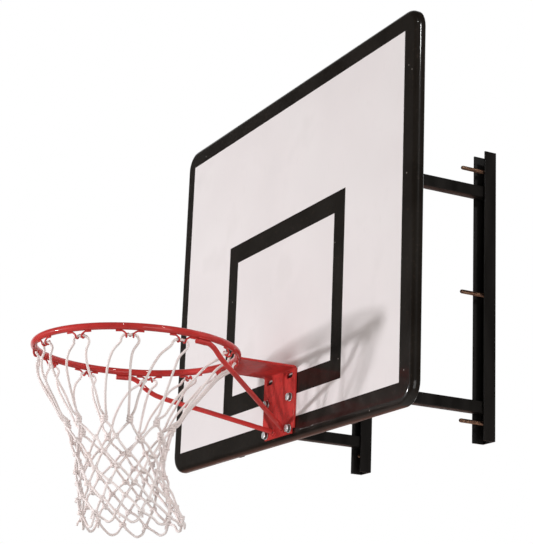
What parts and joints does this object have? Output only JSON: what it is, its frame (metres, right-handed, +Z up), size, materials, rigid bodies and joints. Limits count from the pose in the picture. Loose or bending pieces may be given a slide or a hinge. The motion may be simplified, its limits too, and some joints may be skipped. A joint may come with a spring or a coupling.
{
  "type": "wall-mounted basketball hoop",
  "caption": "White rectangular backboard with a black border and target, held off the wall on steel arms, with a red ring on a bent plate and a white cord net.",
  "frame": {"origin": "on the wall plane, midway between the two wall uprights and at half their height", "axes": "+Z up, +Y into the wall, the court lies towards -Y, +X to the right seen from the court"},
  "size_m": [1.2, 1.031, 1.146],
  "materials": {
    "black_moulding": "satin black moulded board",
    "white_paint": "satin white print on the board's front",
    "red_paint": "glossy red powder coat",
    "black_steel": "satin black paint",
    "bright_zinc": "bright zinc plate",
    "bronze_zinc": "yellow-brown passivated zinc",
    "white_cord": "matt twisted white cord"
  },
  "bodies": {
    "root": {"backboard": "black_moulding", "white_field": "white_paint", "target_field": "white_paint", "ring": "red_paint", "ring_bracket": "red_paint", "ring_stay_left": "red_paint", "ring_stay_right": "red_paint", "net_clip_01": "red_paint", "net_clip_02": "red_paint", "net_clip_03": "red_paint", "net_clip_04": "red_paint", "net_clip_05": "red_paint", "net_clip_06": "red_paint", "net_clip_07": "red_paint", "net_clip_08": "red_paint", "net_clip_09": "red_paint", "net_clip_10": "red_paint", "net_clip_11": "red_paint", "net_clip_12": "red_paint", "net": "white_cord", "ring_bolt_1": "bright_zinc", "ring_bolt_2": "bright_zinc", "ring_bolt_3": "bright_zinc", "ring_bolt_4": "bright_zinc", "ring_washer_1": "bright_zinc", "ring_washer_2": "bright_zinc", "ring_washer_3": "bright_zinc", "ring_washer_4": "bright_zinc", "ring_nut_1": "bright_zinc", "ring_nut_2": "bright_zinc", "ring_nut_3": "bright_zinc", "ring_nut_4": "bright_zinc", "wall_nut_1": "bright_zinc", "wall_nut_2": "bright_zinc", "wall_nut_3": "bright_zinc", "wall_nut_4": "bright_zinc", "wall_nut_5": "bright_zinc", "wall_nut_6": "bright_zinc", "board_bolt_1": "bright_zinc", "board_bolt_2": "bright_zinc", "board_bolt_3": "bright_zinc", "board_bolt_4": "bright_zinc", "wall_bolt_1": "bronze_zinc", "wall_bolt_2": "bronze_zinc", "wall_bolt_3": "bronze_zinc", "wall_bolt_4": "bronze_zinc", "wall_bolt_5": "bronze_zinc", "wall_bolt_6": "bronze_zinc", "ring_backing_plate": "black_steel", "wall_upright_left": "black_steel", "wall_upright_right": "black_steel", "upper_arm_left": "black_steel", "upper_arm_right": "black_steel", "lower_arm_left": "black_steel", "lower_arm_right": "black_steel", "board_rail_left": "black_steel", "board_rail_right": "black_steel"}
  },
  "joints": []
}
